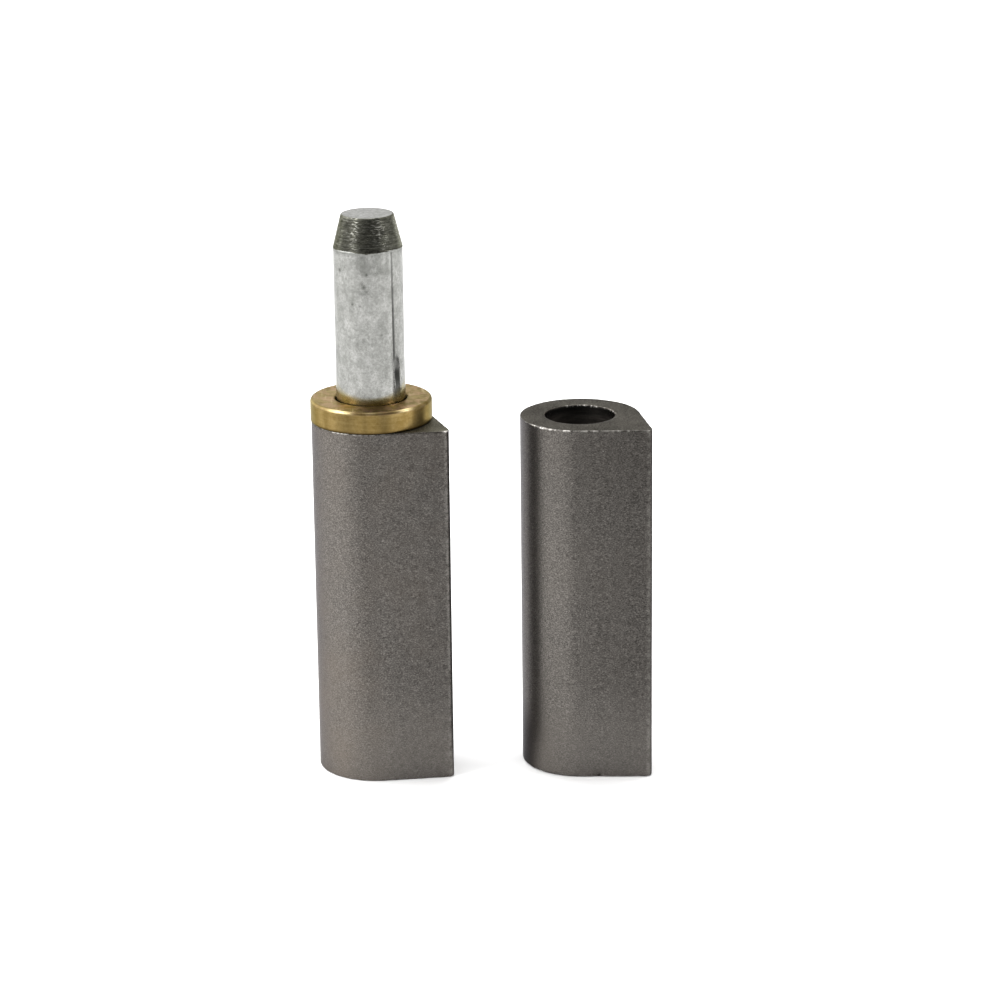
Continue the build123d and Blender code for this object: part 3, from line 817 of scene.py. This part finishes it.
# ------------------------------------------------------------ washer mesh
def make_washer(name, mat):
    n = 300
    ang = np.linspace(-math.pi, math.pi, n, endpoint=False)
    u = np.c_[np.cos(ang), np.sin(ang)]
    z0, z1 = was_lo[2], WASHER_TOP
    hole = 4.765 * MM
    R = WASHER_R
    cr = 0.4 * MM
    br = 0.12 * MM
    wob = wave_noise(61, 8, 2, 9)
    rimn = wave_noise(62, 16, 8, 70)
    torn = wave_noise(63, 14, 30, 110)
    prof = []                                         # r, z, wear and painted highlight, face, grime and painted shade

    def add(r, z, w=0.0, f=0.0, g=0.0, a=0.0):
        prof.append((r, z, w, f, g, a))

    # grime column: painted shade in the hole, near its top edge and where the washer sits on the bar
    for t in np.linspace(0, 1, 8):                    # hole, from low to high
        add(hole, z0 + br + (z1 - z0 - 2 * br) * t, 0, 0, 0.5)
    for a in np.linspace(0, 1, 5)[1:]:                # inner upper edge
        add(hole + br * a, z1 - br * (1 - a), 0.8, 0.6, 0.15, 0.4)
    for t in np.linspace(0, 1, 22)[1:]:               # upper face
        add(hole + br + (R - cr - hole - br) * t, z1, 0.0, 1.0, 0.25 * max(0, 1 - t * 9))
    for a in np.linspace(0, math.pi / 2, 10)[1:]:     # crown
        add(R - cr + cr * math.sin(a), z1 - cr * (1 - math.cos(a)), math.sin(2 * a) * 0.9, 0.3, 0, 0.5)
    for t in np.linspace(0, 1, 20)[1:]:               # side
        add(R, z1 - cr - (z1 - z0 - cr - br) * t, 0, 0, 0.8 * float(smooth(0.88, 1.0, t)))
    for a in np.linspace(0, 1, 4)[1:]:                # lower outer edge
        add(R - br * a, z0 + br * (1 - a), 0.0, 0, 0.95)
    for t in np.linspace(0, 1, 10)[1:]:               # lower face
        add(R - br - (R - hole - 2 * br) * t, z0, 0, 0.6, 0.4)
    add(hole + br * 0.5, z0 + br * 0.5, 0, 0, 0.5)    # lower inner edge
    # painted highlights, reflections and shade: angle from the camera's side, half width, change
    side_painted_light = [(-64, 12, -0.14), (-45, 4, -0.12), (-25, 9, -0.28), (-17, 6, -0.15), (-4, 3, -0.18), (14, 5.5, -0.34),
                 (33, 9, 0.30), (43, 8, 0.55), (60, 8, 0.25), (100, 12, -0.2), (140, 9, 0.15), (175, 8, -0.2),
                 (-120, 9, -0.2), (-150, 7, 0.15)]
    rim_painted_light = [(-30, 13, 1.0), (37, 8, 1.0), (2, 5, 0.35), (20, 4, -0.15), (-12, 5, -0.12), (-75, 12, 0.25), (110, 15, 0.4), (-140, 20, 0.4)]
    top_painted_light = [(-33, 9, 1.0), (37, 9, 1.0), (0, 20, 1.15), (-70, 25, 0.12), (70, 30, -0.08)]
    cam = (np.degrees(ang) + 91.5 + 180) % 360 - 180

    def painted_light_bands(bands, base):
        t = np.full(n, base)
        for mid, wid, k in bands:
            t = t + k * np.exp(-(((cam - mid + 180) % 360 - 180) / wid) ** 2)
        return np.clip(t, 0.1, 2.2)

    side_t, rim_t, top_t = painted_light_bands(side_painted_light, 0.98), painted_light_bands(rim_painted_light, 0.62), painted_light_bands(top_painted_light, 1.0)
    # painted glints on the hole's edge either side of the front
    hole_edge_glint = 0.35 + 0.65 * np.exp(-((np.abs(cam) - 30) / 12) ** 2)
    rows, A = [], {"wear_and_highlight": [], "face": [], "grime_and_shade": [], "tone": []}
    for r, z, w, f, g, a in prof:
        rr = r - (0.0 if r < hole + 1e-9 else 0.006 * MM) * (1 + 0.5 * wob(ang, 0)) * (1 if r > hole + br else 0)
        rr = rr + a * 0.012 * MM * rimn(ang, 1) * (-1 if r > 6 * MM else 1)
        if abs(a - 0.4) < 1e-6:                       # the hole's edge is a little torn
            rr = rr + 0.085 * MM * np.clip(torn(ang, 2) * 0.45, -0.5, 1.4)
        rr = np.minimum(rr, R - 0.006 * MM)
        if abs(a - 0.4) < 1e-6:
            z = z - 0.11 * MM * np.clip(torn(ang, 5) * 0.5, 0, 1.3)
        zz = np.broadcast_to(z, n) - (0.003 * MM * (1 + wob(ang, r / MM)) if f == 1.0 else 0)
        rows.append(np.c_[u * np.broadcast_to(rr, n)[:, None], zz])
        # tone: the painted light and shade bands
        if r > R - cr + 1e-9 and z > z1 - cr + 1e-9:
            tone = rim_t
        elif f == 1.0:
            near = float(np.clip(1 - (r - hole) / (2.6 * MM), 0, 1))
            tone = 1 + (top_t - 1) * (0.5 + 0.5 * near)
        else:
            tone = side_t
        A["tone"].append(tone)
        # the crown's wear follows its painted highlights; the hole's edge gets painted glints
        k = np.clip(tone - 0.6, 0, 1) if r > 6 * MM else np.clip(torn(ang, 0) * 0.8 + 0.1, 0, 1.6) * hole_edge_glint
        A["wear_and_highlight"].append(np.full(n, w) * k)
        A["face"].append(np.full(n, f))
        A["grime_and_shade"].append(np.full(n, g))
    F = grid_faces(len(rows), n)
    first, last = 0, (len(rows) - 1) * n
    for i in range(n):
        j = (i + 1) % n
        F.append((last + i, last + j, first + j, first + i))
    # the profile runs up the hole and out, so turn the faces outwards
    F = [tuple(reversed(f)) for f in F]
    V = np.vstack(rows) + np.array([PIN_X, PIN_Y, 0])
    return make_mesh(name, V, F, {k: np.concatenate(v) for k, v in A.items()}, [mat])


# ------------------------------------------------------------ build
low_mat = bar_steel("steel_pin_bar", (0.197, 0.182, 0.167), (0.026, 0.024, 0.022), (0.140, 0.116, 0.094),
                    0.002, 0.030, PIN_X - 0.004, PIN_X + 0.003, 0.34, 0.45, 0.25, 0.21, 0.06)
up_mat = bar_steel("steel_socket_bar", (0.199, 0.184, 0.169), (0.018, 0.0168, 0.015), (0.114, 0.102, 0.090),
                   0.002, 0.020, SOC_X - 0.006, SOC_X + 0.001, 0.30, 0.41, 0.32, 0.22, 0.15)
low_end = end_steel("steel_pin_bar_ends", (0.155, 0.147, 0.114), (0.024, 0.022, 0.017))
up_end = end_steel("steel_socket_bar_ends", (0.108, 0.101, 0.088), (0.010, 0.0095, 0.008))
bore_mat = bore_steel("steel_bores")
zinc_mat = zinc_plate("zinc_plate")
cone_mat = turned_steel("steel_cone")
end_mat = pin_end("steel_pin_end", PIN_X, PIN_Y)
brass_mat = turned_brass("brass")

low = make_bar("pin_bar", PIN_X, PIN_Y, LOW_NOSE, PIN_R + 0.002 * MM, 4.85 * MM, PIN_FOOT - 0.3 * MM,
               [low_mat, low_end, bore_mat], 11, 0.13,
               worn=[(-133, -112, 0.5, 0.11), (-112, -86, 0.62, 0.10), (-86, -74, 0.36, 0.09), (-38, -33, 0.8, 0.11), (30, 120, 0.4, 0.12)],
               spots=[(-35.0, 1.8, 1.3), (-123, 1.6, 0.8), (-119, 1.2, 0.8), (-131, 1.0, 0.6), (-115, 1.0, 0.6)], rim_highlight_arcs=[],
               flat_to=(60, 88))
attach(low, "pin_half")
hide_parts("lower_barrel")

up = make_bar("socket_bar", SOC_X, SOC_Y, UP_NOSE, SOCKET_R, SOCKET_R + 0.06 * MM, BAR_H - 27.0 * MM,
              [up_mat, up_end, bore_mat], 23, 0.26,
              worn=[(-147, -102, 0.92, 0.17), (-102, -46, 0.46, 0.08), (60, 150, 0.3, 0.12)],
              spots=[(-44.6, 1.2, 1.2), (-107, 3.0, 1.15), (-99, 1.0, 0.8), (-87, 1.4, 0.9), (-80, 1.4, 0.9), (-72, 0.9, 0.6),
                      (-64, 1.0, 0.8), (-61, 0.9, 0.9), (-54.5, 1.0, 0.9), (-50.6, 0.8, 1.0), (78, 2.0, 0.6)],
              rim_highlight_arcs=[(52, 112, 1.0), (0, 42, 0.8)], flat_to=(52, 68),
              nicks=[(math.radians(-76), 0.40, 0.6, 0.25, 0.22), (math.radians(-83), 2.0, 0.25, 0.14, 0.05),
                     (math.radians(-28), 0.2, 0.4, 0.25, 0.14)],
              foot_painted_shade=0.74, chips=[(-76, 1.6, 0.95), (-80.5, 1.5, 0.75), (-85, 2.0, 0.45), (-70, 1.2, 0.4), (-28, 1.6, 0.8), (-40, 2.0, 0.35)])
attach(up, "socket_half")
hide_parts("upper_barrel")

pin = make_pin("hinge_pin", [zinc_mat, cone_mat, end_mat])
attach(pin, "pin_half")
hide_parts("pin")

was = make_washer("washer_ring", brass_mat)
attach(was, "washer")
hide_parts("brass_washer")

# ------------------------------------------------------------ floor
floor_me = bpy.data.meshes.new("floor")
S = 6.0
floor_me.from_pydata([(-S, -S, 0), (S, -S, 0), (S, S, 0), (-S, S, 0)], [], [(0, 1, 2, 3)])
floor = bpy.data.objects.new("floor", floor_me)
scene.collection.objects.link(floor)
floor.location.z = -0.00005
fm = bpy.data.materials.new("floor_paint")
fm.use_nodes = True
fb = fm.node_tree.nodes["Principled BSDF"]
fb.inputs["Base Color"].default_value = (0.9, 0.9, 0.9, 1)
fb.inputs["Roughness"].default_value = 0.9
fb.inputs["Specular IOR Level"].default_value = 0.1
floor_me.materials.append(fm)

# ------------------------------------------------------------ light
world = bpy.data.worlds.new("studio")
scene.world = world
world.use_nodes = True
wt = world.node_tree
wt.nodes.clear()
tc = wt.nodes.new("ShaderNodeTexCoord")
# a soft studio: broad lobes of light, brightest to the left and overhead
CAM_SIDE = math.radians(1.468)
LOBES = [  # azimuth from the camera's side (positive to its right), elevation, tightness, strength
    (-180, 10, 10.0, 1.25), (-140, 10, 10.0, 2.92), (-100, 10, 10.0, 4.30), (-62, 10, 10.0, 4.10),
    (-20, 10, 10.0, 0.20), (60, 10, 10.0, 0.95), (100, 10, 10.0, 1.60), (140, 10, 10.0, 1.30),
    (-90, 45, 8.0, 0.84), (180, 70, 5.0, 1.2), (0, 55, 7.0, 0.9),
]


def studio_dir(azimuth, elevation):
    a, e = math.radians(azimuth), math.radians(elevation)
    toward = Vector((-math.sin(CAM_SIDE), -math.cos(CAM_SIDE), 0))
    across = Vector((math.cos(CAM_SIDE), -math.sin(CAM_SIDE), 0))
    return (toward * math.cos(a) + across * math.sin(a)) * math.cos(e) + Vector((0, 0, math.sin(e)))


total = None
for az, el, tight, strength in LOBES:
    dot = wt.nodes.new("ShaderNodeVectorMath")
    dot.operation = "DOT_PRODUCT"
    wt.links.new(tc.outputs["Generated"], dot.inputs[0])
    dot.inputs[1].default_value = studio_dir(az, el)
    sub = wt.nodes.new("ShaderNodeMath")
    sub.operation = "MULTIPLY_ADD"
    wt.links.new(dot.outputs["Value"], sub.inputs[0])
    sub.inputs[1].default_value = tight
    sub.inputs[2].default_value = -tight
    ex = wt.nodes.new("ShaderNodeMath")
    ex.operation = "EXPONENT"
    wt.links.new(sub.outputs[0], ex.inputs[0])
    mul = wt.nodes.new("ShaderNodeMath")
    mul.operation = "MULTIPLY_ADD"
    wt.links.new(ex.outputs[0], mul.inputs[0])
    mul.inputs[1].default_value = strength
    if total is None:
        mul.inputs[2].default_value = 0.0
    else:
        wt.links.new(total, mul.inputs[2])
    total = mul.outputs[0]
bg = wt.nodes.new("ShaderNodeBackground")
bg.inputs["Color"].default_value = (1, 1, 1, 1)
wt.links.new(total, bg.inputs["Strength"])
wo = wt.nodes.new("ShaderNodeOutputWorld")
wt.links.new(bg.outputs[0], wo.inputs["Surface"])

AIM = Vector(((PIN_X + SOC_X) / 2, 0, 0.030))


def softbox(name, azimuth, elevation, distance, w, h, radiance, colour=(1, 1, 1)):
    """A rectangular area light round the aim point, of a given radiance."""
    d = studio_dir(azimuth, elevation)
    li = bpy.data.lights.new(name, "AREA")
    li.shape = "RECTANGLE"
    li.size, li.size_y = w, h
    li.energy = radiance * math.pi * w * h
    li.color = colour
    ob = bpy.data.objects.new(name, li)
    ob.location = AIM + d * distance
    ob.rotation_mode = "QUATERNION"
    ob.rotation_quaternion = (-d).to_track_quat("-Z", "Y")
    scene.collection.objects.link(ob)
    return ob


# a large panel above and behind, to the left: it lights the floor round and behind the hinge
panel = softbox("panel", 180, 60, 0.9, 1.5, 0.9, 2.2)
panel.location = AIM + studio_dir(180, 0) * 0.42 + studio_dir(-90, 0) * 0.25 + Vector((0, 0, 0.62))
panel.rotation_quaternion = Vector((0, 0, 1)).to_track_quat("Z", "Y")
softbox("key_left", -58, 38, 0.9, 0.11, 0.14, 32.0, (1.0, 0.99, 0.98))
softbox("key_right", 74, 32, 0.9, 0.10, 0.14, 32.0, (1.0, 0.99, 0.97))

# ------------------------------------------------------------ camera
CAM_AZ, CAM_EL, CAM_ROLL = 1.468, 17.14, -0.628      # degrees
CAM_D, CAM_F = 0.4743, 3547.0                        # metres, pixels over a 1000-pixel frame
TARGET = Vector((0.016934, -0.000434, 0.036936))
a, e = math.radians(CAM_AZ), math.radians(CAM_EL)
fwd = Vector((math.sin(a) * math.cos(e), math.cos(a) * math.cos(e), -math.sin(e)))
right = Vector((math.cos(a), -math.sin(a), 0))
up_v = right.cross(fwd)
roll = math.radians(CAM_ROLL)
# image x and y axes turned by the roll
rx = right * math.cos(roll) + up_v * math.sin(roll)
ry = up_v * math.cos(roll) - right * math.sin(roll)
M = Matrix((
    (rx.x, ry.x, -fwd.x, 0), (rx.y, ry.y, -fwd.y, 0), (rx.z, ry.z, -fwd.z, 0), (0, 0, 0, 1)))
cam_d = bpy.data.cameras.new("camera")
cam = bpy.data.objects.new("camera", cam_d)
scene.collection.objects.link(cam)
cam_d.sensor_width = 36.0
cam_d.lens = CAM_F * 36.0 / 1000.0
cam_d.clip_start, cam_d.clip_end = 0.01, 30
cam.matrix_world = Matrix.Translation(TARGET - fwd * CAM_D) @ M
scene.camera = cam
scene.view_settings.view_transform = "Standard"
scene.view_settings.look = "None"
scene.view_settings.exposure = 0.0

bpy.context.view_layer.update()
